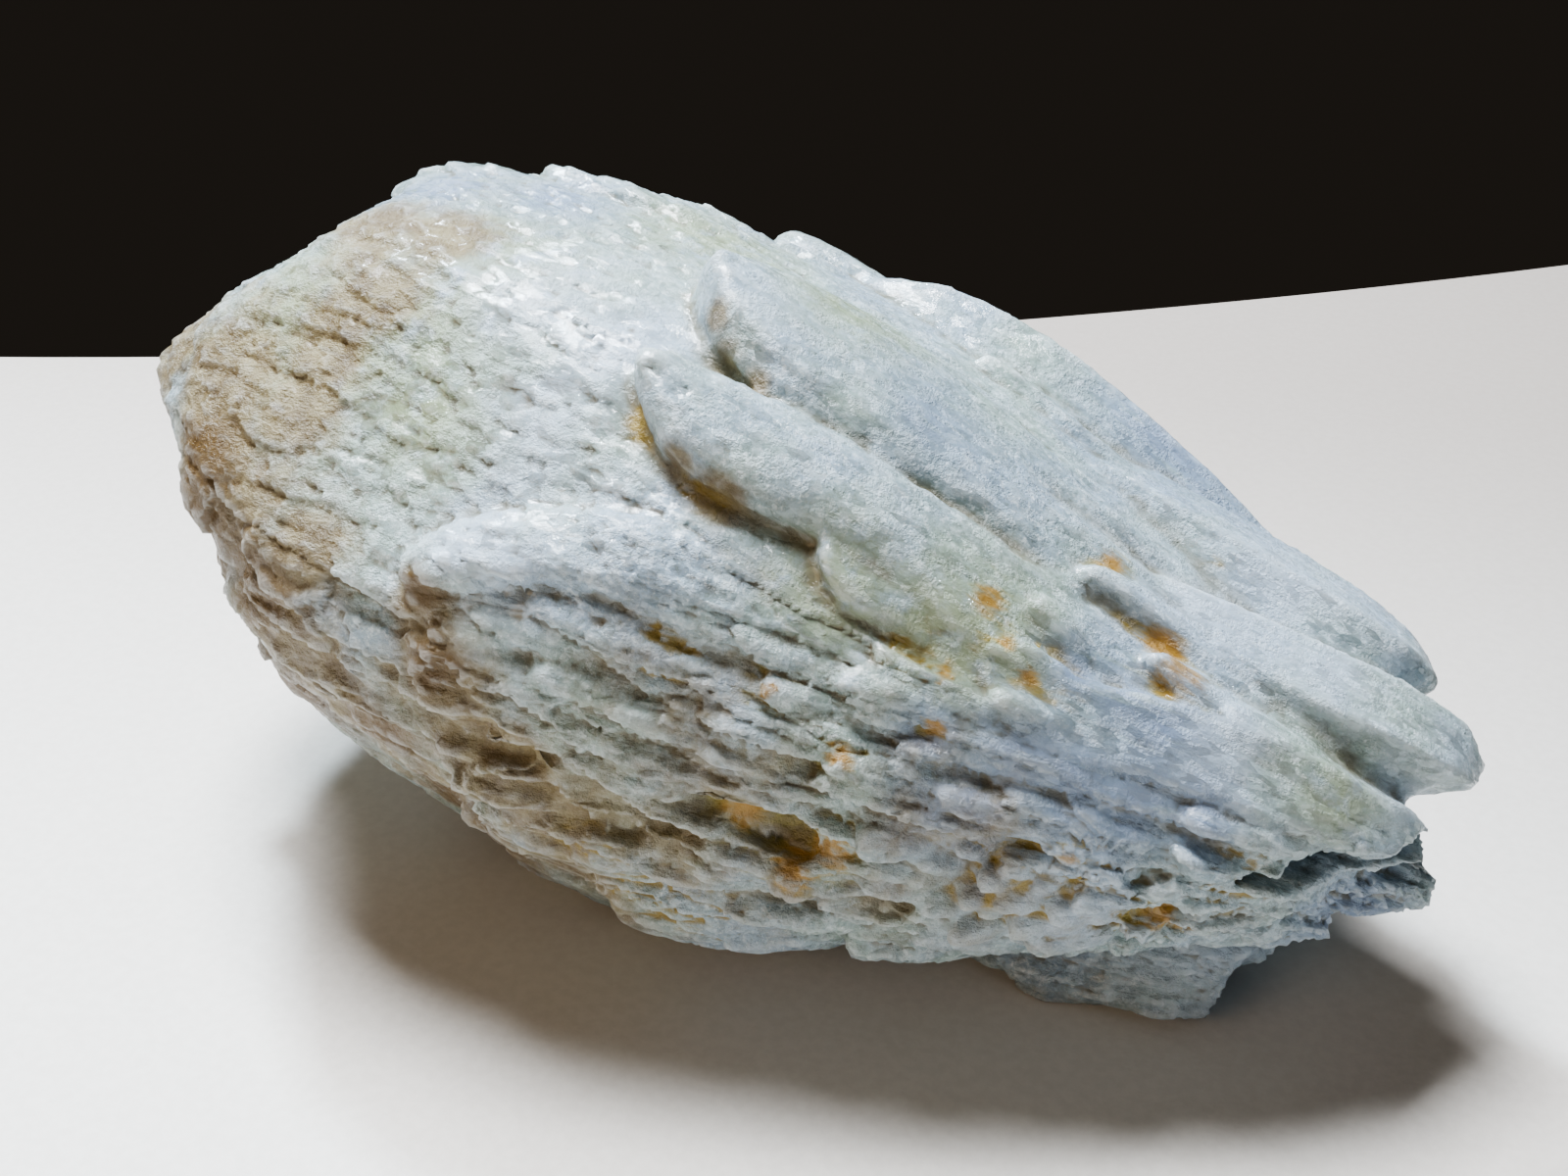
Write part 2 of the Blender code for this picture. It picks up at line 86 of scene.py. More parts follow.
# Crystals lying in the skin, given by their two long edges from the free end to the root: how far they stand
# out, the shape across, then for each station the place on the lower and on the upper edge. A place in the
# skin is (along, round): mm along X, and degrees round it from the front over the top.
LEDGES = (
    (6.0, "leaning", ((-6.8, 82, -7.0, 88), (-5.2, 75, -5.4, 94), (-3.2, 69, -2.7, 100), (-0.6, 65, 0.4, 104),
                      (3.5, 61, 4.9, 105), (8.0, 60, 9.4, 105), (12.5, 58, 14.7, 103), (16.6, 58, 20.1, 98),
                      (20.5, 56, 25.8, 92), (25.4, 55, 31.6, 83), (30.0, 53, 36.0, 72))),
    (4.4, "round", ((-7.8, 59, -7.8, 60.5), (-6.8, 55, -6.6, 61.5), (-5.6, 51.5, -4.8, 62), (-3.4, 47, -3.0, 62.5),
                    (-0.6, 44.5, -0.4, 62.5), (2.9, 43, 2.9, 62), (7.0, 42, 6.4, 61), (10.6, 41, 9.6, 60),
                    (13.5, 40, 12.9, 58.5), (16.8, 37, 16.8, 57), (20.1, 33, 20.9, 56), (24.0, 30, 25.2, 55),
                    (31.0, 26, 33.0, 52))),
    (2.0, "round", ((9.4, 39, 9.5, 41), (10.6, 35, 11.1, 43), (12.1, 33, 13.3, 42), (14.3, 32, 16.2, 40),
                    (17.2, 31, 19.1, 38), (21.0, 29, 23.5, 35))),
    (3.0, "leaning", ((-21.8, 18, -22.2, 23), (-19.3, 18, -19.4, 28), (-15.2, 20, -15.0, 33), (-9.9, 24, -8.6, 37),
                      (-5.1, 25, -2.7, 39), (0.6, 23, 3.5, 40), (5.9, 22, 9.0, 37), (12.0, 20, 15.0, 30))),
    (1.9, "leaning", ((-18.2, 13, -18.5, 19), (-14.8, 12, -15.2, 21), (-10.9, 14, -10.9, 24), (-6.0, 15, -6.0, 26),
                      (-1.4, 17, -1.0, 25), (4.7, 18, 4.7, 25), (11.0, 17, 12.0, 22))),
    (1.6, "leaning", ((-14.4, 7, -14.2, 13), (-10.7, 7, -11.5, 14), (-6.0, 11, -6.8, 16), (0.4, 13, 0.0, 20),
                      (7.0, 16, 7.0, 20))),
    (2.0, "leaning", ((-20.4, 2, -20.8, 12), (-17.0, 0, -18.3, 13), (-12.7, 0, -14.2, 9), (-5.0, 3, -8.0, 10))),
    (1.9, "leaning", ((-10.8, 5, -10.6, 11), (-9.0, 3, -8.2, 14), (-6.0, 3, -4.3, 16), (-1.2, 5, 0.2, 16),
                      (6.0, 6, 6.0, 15))),
    (2.0, "leaning", ((-9.0, -2, -8.6, 5), (-7.2, -5, -6.0, 6), (-2.9, -4, -1.2, 7), (2.7, -2, 3.5, 8),
                      (9.0, 2, 9.5, 8))),
    (1.8, "leaning", ((-9.6, -9, -9.4, -2), (-7.6, -12, -7.0, -2), (-3.0, -11, -2.0, -3), (4.0, -9, 4.5, -3),
                      (11.0, -6, 11.0, -2))),
    (2.2, "leaning", ((-8.0, -19, -7.8, -11), (-6.0, -21, -5.2, -10), (-1.2, -20, 0.0, -10), (4.5, -20, 5.7, -8),
                      (12.0, -16, 11.0, -9))),
    (2.0, "leaning", ((-6.5, -33, -6.5, -22), (-4.3, -42, -3.0, -21), (0.4, -41, 2.9, -20), (6.8, -40, 8.8, -18),
                      (15.0, -36, 15.0, -18))),
    (2.0, "leaning", ((4.1, 11, 4.3, 15), (5.5, 9, 6.3, 18), (9.6, 10, 11.1, 17), (14.1, 10, 15.6, 16),
                      (20.0, 11, 21.0, 14))),
    (1.8, "leaning", ((3.3, 7, 3.7, 10), (5.1, 6, 6.5, 11), (9.0, 5, 10.4, 12), (14.0, 6, 15.0, 10))),
    (2.2, "leaning", ((8.4, 4, 8.5, 8), (10.2, 3, 11.3, 9), (13.7, 4, 15.8, 10), (20.0, 5, 22.0, 9))),
    (2.0, "round", ((7.8, 1, 8.0, 4), (9.4, 0, 10.6, 4), (13.0, 0, 14.5, 3))),
    (2.8, "round", ((15.6, -1, 15.8, 3), (16.8, -4, 17.8, 5), (19.9, -3, 21.3, 5), (24.0, -2, 26.0, 4))),
    (2.6, "round", ((8.6, -14, 9.0, -10), (10.4, -16, 11.5, -6), (13.7, -12, 13.7, -2), (18.0, -8, 17.5, -3))),
    (2.0, "round", ((2.0, -16, 2.4, -13), (4.3, -17, 5.3, -11), (9.0, -15, 10.0, -10))),
    (2.0, "round", ((6.8, -11, 7.2, -8), (8.0, -13, 9.8, -6), (13.0, -9, 14.0, -5))),
    (1.8, "leaning", ((16.0, 6, 16.2, 9), (17.8, 5, 19.5, 10), (23.0, 5, 25.0, 9))),
    (1.5, "leaning", ((20.9, 10, 21.1, 12), (22.9, 9, 24.6, 13), (28.0, 8, 30.0, 11))),
    (1.5, "leaning", ((24.4, 8, 23.6, 12), (30.9, 5, 28.9, 15), (36.9, 3, 34.0, 14), (43.0, 1, 41.0, 11))),
    (0.8, "leaning", ((20.5, 17, 20.3, 20), (24.6, 14, 24.8, 22), (30.3, 14, 30.3, 25), (37.9, 13, 35.9, 28),
                      (43.0, 12, 42.0, 26))),
    (1.0, "round", ((13.1, 21, 13.9, 24), (15.4, 17, 18.2, 28), (20.5, 19, 22.7, 27), (28.0, 22, 29.0, 27))),
    (1.4, "round", ((19.6, 38, 19.8, 40), (21.9, 36, 22.5, 39), (27.0, 31, 28.0, 33))),
    (1.3, "round", ((22.6, 33, 23.0, 35), (25.4, 31, 25.8, 34), (30.0, 29, 30.5, 31))),
    (1.4, "round", ((24.0, 35, 24.2, 37), (26.6, 33, 27.0, 36), (31.0, 30, 31.8, 33))),
    (1.5, "round", ((24.0, 25, 24.2, 28), (26.0, 23, 26.8, 28), (32.0, 22, 33.0, 26))),
    (1.5, "round", ((25.2, 43, 25.3, 46), (27.0, 40, 27.7, 46), (31.0, 35, 32.0, 41))),
    (1.6, "leaning", ((28.2, 56, 28.4, 59), (29.6, 53.5, 30.0, 62), (33.0, 52, 34.0, 63), (37.0, 50, 38.0, 61),
                      (43.0, 47, 44.0, 58))),
    (1.2, "leaning", ((20.5, 77, 20.4, 82), (22.7, 75, 22.7, 86), (27.0, 75, 27.5, 88), (36.0, 74, 36.0, 84))),
    (1.3, "leaning", ((22.7, 67, 22.7, 73), (25.4, 64, 25.2, 80), (28.7, 62, 28.5, 82), (37.0, 60, 37.0, 76))),
    (2.0, "leaning", ((34.4, 42, 34.5, 44), (35.6, 39, 35.9, 46.5), (38.0, 35.5, 38.6, 47), (41.0, 34, 41.6, 46),
                      (46.0, 33, 46.5, 42))),
    (1.9, "leaning", ((40.6, 38, 40.7, 41), (42.0, 33, 42.6, 44), (45.9, 31, 47.1, 43), (49.0, 30, 50.0, 41),
                      (54.0, 28, 55.0, 36))),
    (2.4, "leaning", ((38.9, 7, 39.3, 10), (41.6, 4, 41.8, 8), (46.5, 1, 47.0, 5))),
)
# How high the crystal stands across its width, from the lower edge to the upper one.
ACROSS = np.array((0.0, 0.05, 0.12, 0.26, 0.5, 0.7, 0.86, 0.95, 1.0))
STANDING = {
    "leaning": np.array((0.30, 0.66, 0.90, 1.0, 0.90, 0.68, 0.40, 0.18, 0.0)),
    "round": np.array((0.20, 0.55, 0.82, 1.0, 1.02, 0.98, 0.84, 0.66, 0.3)),
}
# Crystals that stand clear of the mass: thickness, the direction that the crest faces, then a place on the
# crest per row from the free end to the root: x, y, z, width.
CLEAR_CRYSTALS = (
    (12.0, (0.3, 0.25, 0.95), ((57.6, 0.8, 29.5, 5.0), (56.2, 1.0, 31.6, 9.5), (52.0, 1.5, 34.6, 13.0),
                               (45.0, 3.0, 37.5, 14.0), (36.0, 5.0, 40.5, 13.0), (25.0, 7.0, 43.5, 9.0))),
    (12.0, (0.35, -0.3, 0.9), ((61.8, -7.4, 26.0, 5.0), (60.6, -7.6, 28.2, 9.0), (56.0, -8.3, 31.4, 11.5),
                               (48.5, -9.0, 34.6, 12.0), (41.0, -8.5, 37.0, 11.0), (32.0, -8.0, 40.0, 8.0))),
    (11.0, (0.4, -0.65, 0.65), ((59.0, -13.0, 22.0, 4.0), (57.6, -14.2, 23.8, 7.0), (53.0, -16.8, 27.0, 10.0),
                                (46.0, -19.0, 30.5, 12.0), (38.0, -20.5, 33.5, 12.0), (28.0, -23.0, 36.5, 9.0))),
    (8.0, (0.2, -0.9, 0.2), ((60.0, -12.0, 16.8, 4.0), (58.5, -12.8, 17.0, 5.5), (55.0, -14.5, 17.5, 6.0),
                             (47.0, -17.5, 18.0, 7.0), (36.0, -21.0, 20.0, 8.0))),
    (7.0, (0.1, -0.95, -0.1), ((52.4, -16.0, 14.0, 2.0), (51.0, -16.6, 14.0, 3.5), (47.0, -18.0, 14.0, 5.0),
                               (38.0, -20.0, 15.0, 6.0))),
    (16.0, (0.35, 0.6, 0.7), ((48.0, 9.5, 28.5, 6.0), (46.0, 10.5, 30.8, 11.0), (39.0, 14.0, 35.5, 16.0),
                              (30.0, 17.5, 40.5, 19.0), (19.0, 20.5, 46.0, 19.0), (8.0, 21.5, 49.5, 16.0),
                              (0.0, 20.5, 50.0, 10.0))),
    (12.0, (-0.6, 0.1, 0.8), ((-62.2, 6.5, 41.0, 8.0), (-61.0, 6.6, 43.8, 13.0), (-57.0, 7.0, 48.2, 16.0),
                              (-51.0, 7.0, 51.5, 16.0), (-44.0, 7.0, 54.0, 12.0))),
    (12.0, (-0.8, -0.3, -0.1), ((-60.5, -4.0, 30.5, 6.0), (-59.5, -3.5, 33.0, 10.0), (-58.0, -3.0, 37.0, 12.0),
                                (-56.0, -2.0, 41.0, 12.0))),
    (11.0, (0.0, -0.25, 1.0), ((48.6, -9.0, 5.5, 8.0), (47.2, -9.2, 8.0, 13.0), (43.0, -9.5, 9.0, 17.0),
                               (33.0, -9.5, 9.0, 18.0), (18.0, -7.0, 9.0, 15.0))),
    (5.0, (0.0, -0.3, 1.0), ((26.0, -16.0, 2.0, 1.5), (27.5, -15.8, 2.8, 3.2), (31.0, -15.3, 3.6, 4.6),
                             (40.0, -13.0, 5.0, 5.0))),
    (9.0, (-0.1, -0.6, 0.8), ((-25.6, -12.0, 5.0, 4.5), (-24.0, -12.1, 6.6, 8.5), (-20.0, -12.5, 6.6, 11.0),
                              (-8.0, -12.5, 7.0, 12.0), (8.0, -12.0, 7.0, 9.0))),
)
# Gaps between crystals: how tall, the direction across, then a place on the middle of the gap per row from
# the deep end out: x, y, z, width.
GAPS = (
    (2.4, (0.1, -0.3, 0.95), ((36.0, -18.5, 26.2, 5.0), (45.0, -18.5, 24.3, 10.0), (66.0, -14.0, 20.5, 13.0))),
    (2.0, (0.0, -0.2, 1.0), ((33.0, -20.0, 9.6, 3.0), (39.0, -18.0, 9.8, 8.0), (56.0, -17.0, 9.8, 14.0))),
)
# Splinters scattered over the skin: how many, along from and to, round from and to, length, width, how far
# their free ends stand out.
SPLINTERS = (
    (170, (-20.0, 24.0), (-34.0, 14.0), 9.0, 2.0, 1.5),
    (60, (-22.0, 8.0), (4.0, 24.0), 7.0, 1.8, 0.9),
    (110, (14.0, 46.0), (-36.0, 16.0), 7.5, 1.5, 1.3),
    (26, (12.0, 40.0), (16.0, 36.0), 8.0, 1.5, 0.6),
    (40, (-50.0, -26.0), (-30.0, 20.0), 7.0, 2.6, 0.6),
    (34, (-8.0, 40.0), (40.0, 100.0), 9.0, 2.4, 0.3),
    (170, (-46.0, 34.0), (110.0, 250.0), 14.0, 3.4, 1.3),
    (70, (-40.0, 30.0), (240.0, 330.0), 10.0, 2.6, 1.0),
    (14, (-44.0, 22.0), (132.0, 236.0), 28.0, 10.0, 2.4),
)
# The cluster of small pill-shaped crystals low at the front: along and round from and to, length, width, and
# soft spots (x, y, z, radius) that cover it.
PILLS = ((19.0, 35.0), (-16.0, 4.0), 4.4, 2.2)
PILL_ROW = 4.2
PILL_HEIGHT = 2.5
PILL_FIELD = (
    (23.0, -28.0, 22.0, 6.0), (28.0, -27.5, 21.0, 6.0), (32.0, -26.5, 19.5, 5.0), (25.0, -27.0, 17.0, 5.0),
)
# Grooves in the skin: depth, half width, then places along and round.
GROOVES = (
    (0.7, 0.7, ((-3.0, 68), (0.0, 67), (3.5, 65), (8.0, 62), (13.0, 58), (19.0, 56), (26.0, 53))),
    (0.45, 0.8, ((-7.6, 58), (-6.4, 50), (-3.8, 46), (0.0, 43), (6.0, 42), (11.0, 41), (15.0, 40))),
    (0.45, 0.8, ((9.3, 40), (10.4, 35), (12.5, 32), (16.0, 31), (20.0, 29))),
    (0.7, 0.6, ((-7.0, 26), (-3.0, 25), (1.0, 22), (6.0, 21))),
    (0.6, 0.6, ((2.0, 36), (4.0, 35), (7.0, 34))),
    (0.5, 0.7, ((29.0, 54), (33.0, 51), (38.0, 49))),
    (0.7, 0.7, ((36.0, 38), (39.0, 34.5), (41.5, 34), (43.0, 32), (47.0, 30))),
    (0.6, 0.8, ((22.0, 75), (26.0, 74), (31.0, 74), (35.0, 73))),
    (2.2, 1.5, ((-7.5, -8), (-4.0, -9), (-1.0, -10), (1.5, -11))),
    (2.2, 1.4, ((3.5, 0), (6.0, -2), (8.5, -5), (11.0, -6))),
    (1.5, 1.2, ((-15.0, 0), (-12.0, -1), (-9.5, -3))),
    (0.9, 1.2, ((34.0, -7), (38.0, -10), (42.0, -12), (46.0, -14))),
    (1.2, 1.0, ((15.5, -16), (18.0, -17), (21.0, -18))),
    (1.6, 1.3, ((-12.0, -40), (-8.0, -42), (-3.0, -44))),
)
# Soft spots (x, y, z, radius) along the upper rim of the wide end, which is pitted.
RIM = (
    (-44, -16, 50, 11), (-40, -22, 46, 10), (-50, -8, 50, 10), (-34, -14, 56, 9), (-44, 0, 56, 9),
    (-32, 0, 60, 8), (-22, 4, 61, 6),
)
# Scales of the fine relief, like overlapping crystal ends: length, width, seed.
LONG_SCALES = (19.0, 2.7, 3)
SHORT_SCALES = (10.0, 1.4, 11)
FINE_SCALES = (4.6, 0.9, 23)
# The tints' soft spots on the side that the photograph shows, marked on it: across and down in its
# pixels, and the radius in mm.
TINTS_SEEN = {
    "rust": (
        (1185, 663, 2), (1203, 680, 2.2), (1218, 692, 1.6), (1135, 572, 1.3), (1008, 612, 1.6),
        (1030, 655, 1), (1050, 690, 1), (785, 705, 1.2), (858, 775, 1.3), (808, 890, 2),
        (845, 872, 1.8), (963, 690, 1), (955, 742, 0.9), (1183, 935, 1.6), (1090, 878, 0.9),
        (760, 827, 1.5),
    ),
    "ochre": (
        (1040, 885, 3), (1080, 900, 3), (1040, 935, 3.5), (1000, 925, 2.5), (1110, 890, 2),
        (1150, 940, 3), (640, 905, 4), (700, 938, 4), (600, 882, 3), (1015, 640, 2.5), (1060, 690, 2.5),
        (1085, 705, 2), (930, 660, 2), (680, 665, 2), (1240, 572, 0.8), (1150, 640, 1.5),
        (1260, 905, 2.5), (655, 435, 1.6), (720, 500, 1.8),
    ),
    # Soil-coloured stain, partly painted shade: the lower left, and the gap under the lower long crystal.
    "earth_and_shade": (
        (250, 520, 7), (300, 560, 6), (300, 660, 9), (350, 720, 8), (220, 450, 6),
        (240, 380, 8), (330, 350, 6), (380, 300, 6), (300, 420, 5), (430, 640, 4),
        (450, 700, 6), (500, 780, 7), (560, 830, 7), (380, 240, 7), (450, 240, 5),
        (657, 430, 1.5), (690, 470, 1.6), (740, 505, 2.4), (730, 325, 1.6), (740, 362, 1.8),
        (770, 395, 1.5),
    ),
    # Dark brown stain, partly painted shade on the underside of the wide end.
    "brown": (
        (210, 540, 7), (205, 470, 5), (255, 590, 6), (390, 750, 5), (425, 600, 2.5), (440, 680, 3.5),
    ),
    "slate": (
        (1150, 710, 4.5), (1180, 740, 4), (1100, 800, 4.5), (1160, 820, 4.5), (1220, 830, 3.5),
        (950, 750, 3), (1040, 780, 4.5), (1100, 690, 3),
    ),
    "green": (
        (300, 330, 9), (360, 360, 8), (420, 320, 8), (500, 240, 9), (430, 420, 6),
        (1000, 660, 7), (950, 640, 6), (850, 600, 6), (1370, 820, 4),
    ),
    # Pale tint; the spots on the dome are a painted highlight where its glare falls.
    "chalk_and_highlight": (
        (1250, 760, 6), (1350, 800, 5), (1230, 620, 6), (1330, 600, 8), (1380, 700, 8),
        (1450, 760, 6), (560, 310, 9), (620, 350, 7), (560, 420, 8), (480, 560, 6),
    ),
}
# The tints' other soft spots, on hidden sides and near the skin, given one by one: x, y, z, radius in mm.
TINTS_PLACED = {
    "rust": ((8, 31, 24, 1.3), (-14, 33, 30, 1.4), (22, 22, 34, 1.2), (40.5, -21.5, 18, 1.8)),
    "ochre": (
        (4, 31, 26, 5), (-18, 33, 34, 5), (24, 21, 22, 4), (-34, 28, 20, 5),
        (12, 26, 44, 3),
    ),
    # Soil-coloured stain; the broad spots on the front and at the lower left are painted shade.
    "earth_and_shade": (
        (-52, -8, 48, 10), (-56, -6, 38, 10), (-62, 6, 42, 8),
        (-48, -18, 36, 9), (-48, -12, 26, 14), (-24, -26, 14, 14),
        (-10, -27, 12, 10), (-22, -40, 26, 14), (-8, -45, 23, 17),
        (10, -44, 22, 16), (26, -40, 16, 13), (-48, 20, 30, 11),
        (-30, 26, 14, 12), (0, 8, 2, 16), (4, -46, 33, 17), (22, -42, 30, 14),
    ),
    # Dark brown stain, partly painted shade on the underside of the wide end.
    "brown": (
        (-23, -21, 12, 8), (-56, -8, 36, 10), (-40, -22, 22, 11),
        (-50, -16, 32, 10), (-62, 4, 40, 7),
    ),
    # Blue-grey tint; the spots on the end slab and on the dome's far top are painted shade.
    "slate": (
        (54, -14, 16, 6), (32, 15, 40, 10), (14, -8, 50, 5), (12, 30, 20, 8),
        (24, -28.5, 30, 5), (-22, 33, 24, 9), (-34, 6, 60, 9), (-24, 8, 62, 8),
    ),
    # Olive tint; the spots on the dome's far top are painted shade.
    "green": (
        (-32, 4, 60, 11), (4, 0, 54, 7), (-10, 10, 60, 10), (-10, 30, 46, 11),
        (30, 18, 24, 8), (-40, 24, 44, 10), (2, 30, 14, 8),
    ),
    # Pale tint; the spot on the foot is painted light where it is lit, the pills' spots are their own colour.
    "chalk_and_highlight": ((44, -12, 8, 9), (-6, -15.5, 55.5, 4), (0, -6, 56.5, 4)) + PILL_FIELD,
}
# How much wider than the rust the yellow halo round it is.
HALO = 1.7
SEED = 5
VOXEL = 0.38
TRIANGLES = 196000
# The sheet of paper, in metres: its left, right and front edges, and where its back edge crosses the middle.
PAPER = (-0.60, 0.60, -0.70, 0.131)


def section_at(along):
    """Middle and reaches of the mass: a cubic through the rows of SECTIONS whose slope at each row is the
    mean of the slopes on both sides."""
    knots = SECTIONS[:, 0]
    low = np.clip(np.searchsorted(knots, along) - 1, 0, len(knots) - 2)
    step = np.diff(knots)[:, None]
    rise = np.diff(SECTIONS[:, 1:], axis=0) / step
    inner = (rise[:-1] * step[1:] + rise[1:] * step[:-1]) / (step[1:] + step[:-1])
    inner = np.where(rise[:-1] * rise[1:] <= 0, inner * 0.5, inner)
    slope = np.vstack([rise[:1], inner, rise[-1:]])
    h = step[low]
    t = (along - knots[low])[..., None] / h
    return (
        (2 * t**3 - 3 * t**2 + 1) * SECTIONS[low, 1:]
        + (t**3 - 2 * t**2 + t) * h * slope[low]
        + (3 * t**2 - 2 * t**3) * SECTIONS[low + 1, 1:]
        + (t**3 - t**2) * h * slope[low + 1]
    )


def skin(along, around):
    """The mass as a function of the place along X and the angle round it: the reach is a superellipse of
    the section's four reaches, limited by each flat face with a soft minimum."""
    along, around = np.broadcast_arrays(np.asarray(along, float), np.asarray(around, float))
    middle_y, middle_z, front, back, up, down = np.moveaxis(section_at(along), -1, 0)
    cos, sin = np.cos(np.radians(around)), np.sin(np.radians(around))
    wide, tall = np.where(cos > 0, front, back), np.where(sin > 0, up, down)
    reach = (np.abs(cos / wide) ** SQUARENESS + np.abs(sin / tall) ** SQUARENESS) ** (-1 / SQUARENESS)
    for outward, point in FLAT_FACES:
        nx, ny, nz = np.array(outward) / np.linalg.norm(outward)
        facing = -ny * cos + nz * sin
        room = nx * (point[0] - along) + ny * (point[1] - middle_y) + nz * (point[2] - middle_z)
        limit = np.clip(room / np.maximum(facing, 1e-3), 0.5, 1e3)
        softened = -FACE_SOFTNESS * np.logaddexp(-reach / FACE_SOFTNESS, -limit / FACE_SOFTNESS)
        reach = np.where(facing > 1e-3, np.maximum(softened, 0.5), reach)
    return np.stack([along, middle_y - reach * cos, middle_z + reach * sin], -1)


def outward_at(along, around):
    """Unit vectors out of the skin: the cross product of its two slopes, turned away from the middle."""
    step = 0.5
    lengthways = skin(along + step, around) - skin(along - step, around)
    sideways = skin(along, around + step) - skin(along, around - step)
    out = np.cross(lengthways, sideways)
    middle = section_at(along)
    centre = np.stack([along, middle[..., 0], middle[..., 1]], -1)
    out *= np.sign(((skin(along, around) - centre) * out).sum(-1, keepdims=True))
    return out / np.linalg.norm(out, axis=-1, keepdims=True)


def tube(rings, start=None, end=None):
    """A closed surface from rings of points (n, m, 3): quads between the rings and a fan of triangles to a
    point at each end, which is the middle of the last ring unless it is given."""
    n, m, _ = rings.shape
    start = rings[0].mean(0) if start is None else start
    end = rings[-1].mean(0) if end is None else end
    points = np.vstack([rings.reshape(-1, 3), start, end])
    row, col = np.meshgrid(np.arange(n - 1), np.arange(m), indexing="ij")
    a = (row * m + col).ravel()
    b = (row * m + (col + 1) % m).ravel()
    ring = np.arange(m)
    turned = (ring + 1) % m
    last = (n - 1) * m
    triangles = np.vstack([
        np.stack([a, b, a + m], -1),
        np.stack([b, b + m, a + m], -1),
        np.stack([np.full(m, n * m), turned, ring], -1),
        np.stack([last + ring, last + turned, np.full(m, n * m + 1)], -1),
    ])
    volume = (points[triangles[:, 0]] * np.cross(points[triangles[:, 1]], points[triangles[:, 2]])).sum()
    return points, triangles if volume > 0 else triangles[:, ::-1]


def mass_surface():
    """The mass: rings of the skin function at even places along X."""
    along = np.linspace(SECTIONS[0, 0] + 0.3, SECTIONS[-1, 0] - 0.3, 150)
    around = np.arange(180) * 2.0
    return tube(skin(along[:, None], around[None, :]))


def smooth_rows(rows, count):
    """Rows carried along a smooth curve: each column is a cubic through its values by the distance from place
    to place, with the slope at each row taken from its neighbours."""
    rows = np.asarray(rows, float)
    place = np.concatenate([[0], np.cumsum(np.linalg.norm(np.diff(rows[:, :3], axis=0), axis=1))])
    wanted = np.linspace(0, place[-1], count)
    low = np.clip(np.searchsorted(place, wanted) - 1, 0, len(place) - 2)
    slope = np.gradient(rows, place, axis=0)
    h = (place[low + 1] - place[low])[:, None]
    t = (wanted - place[low])[:, None] / h
    return (
        (2 * t**3 - 3 * t**2 + 1) * rows[low]
        + (t**3 - 2 * t**2 + t) * h * slope[low]
        + (3 * t**2 - 2 * t**3) * rows[low + 1]
        + (t**3 - t**2) * h * slope[low + 1]
    )


# Corners of a crystal seen along its length: sideways in half widths, depth in thicknesses.
SIX_SIDES = np.array(((-0.5, 0.0), (0.5, 0.0), (1.0, 0.5), (0.5, 1.0), (-0.5, 1.0), (-1.0, 0.5)))


def crystal(crest, facing, width, thickness, rings=24, point=0.3):
    """A six-sided crystal as a profile carried along its crest: the flat top lies on the crest line and the
    other corners hang below it, in half widths sideways and thicknesses down."""
    rows = smooth_rows(np.column_stack([crest, width, facing]), rings)
    crest, width, facing = rows[:, :3], rows[:, 3], rows[:, 4:]
    away = -np.gradient(crest, axis=0)
    away /= np.linalg.norm(away, axis=1, keepdims=True)
    side = np.cross(away, facing)
    side /= np.linalg.norm(side, axis=1, keepdims=True)
    out = np.cross(side, away)
    across = side[:, None] * (SIX_SIDES[None, :, :1] * width[:, None, None] / 2)
    deep = out[:, None] * (SIX_SIDES[None, :, 1:] * thickness)
    tip = crest[0] + away[0] * point * width[0] - out[0] * thickness * 0.3
    return tube(crest[:, None] + across - deep, start=tip)


def ledge(height, shape, stations, rings=22):
    """A crystal lying in the skin. Each ring runs across it from the lower to the upper edge, raised over the
    skin by its shape across times its height, and back below the skin. The height rises fast at the free end
    and falls to nothing at the root."""
    stations = np.asarray(stations, float)
    place = np.concatenate([[0], np.cumsum(np.hypot(*np.diff(stations[:, :2], axis=0).T))])
    wanted = place[-1] * np.linspace(0, 1, rings) ** 1.3
    stations = np.stack([np.interp(wanted, place, column) for column in stations.T], -1)
    share = (wanted / place[-1])[:, None]
    rise = np.clip(0.55 + share * 5.0, 0, 1) * (1 - share**2) - 0.12 * share
    top = STANDING[shape]
    low, high = stations[:, None, :2], stations[:, None, 2:]
    across = ACROSS[None, :, None]
    over = low * (1 - across) + high * across
    under = low * (0.9 - 0.8 * across) + high * (0.1 + 0.8 * across)
    along, around = np.moveaxis(np.concatenate([over, under[:, ::-1]], 1), -1, 0)
    lift = np.concatenate([height * rise * top, np.full((rings, len(top)), -3.0)], 1)
    return tube(skin(along, around) + outward_at(along, around) * lift[..., None])


def towards_root(along, around, length):
    """The place in the skin reached from another by going a length towards the root of the fan."""
    here = skin(along, around)
    there = here + (FAN_ROOT - here) / np.linalg.norm(FAN_ROOT - here) * length
    middle = section_at(there[0])
    turn = math.degrees(math.atan2(there[2] - middle[1], middle[0] - there[1]))
    return there[0], around + (turn - around + 180) % 360 - 180


def clear_crystal(thickness, facing, rows):
    """A crystal whose crest runs through given points."""
    rows = np.asarray(rows, float)
    facing = np.broadcast_to(np.array(facing), (len(rows), 3))
    return crystal(rows[:, :3], facing, rows[:, 3], thickness)


def gap(height, across, rows):
    """A gap: the crystal profile carried along the middle of the gap."""
    rows = np.asarray(rows, float)
    across = np.broadcast_to(np.array(across) / np.linalg.norm(across), (len(rows), 3))
    return crystal(rows[:, :3] + across * height / 2, across, rows[:, 3], height, rings=12)


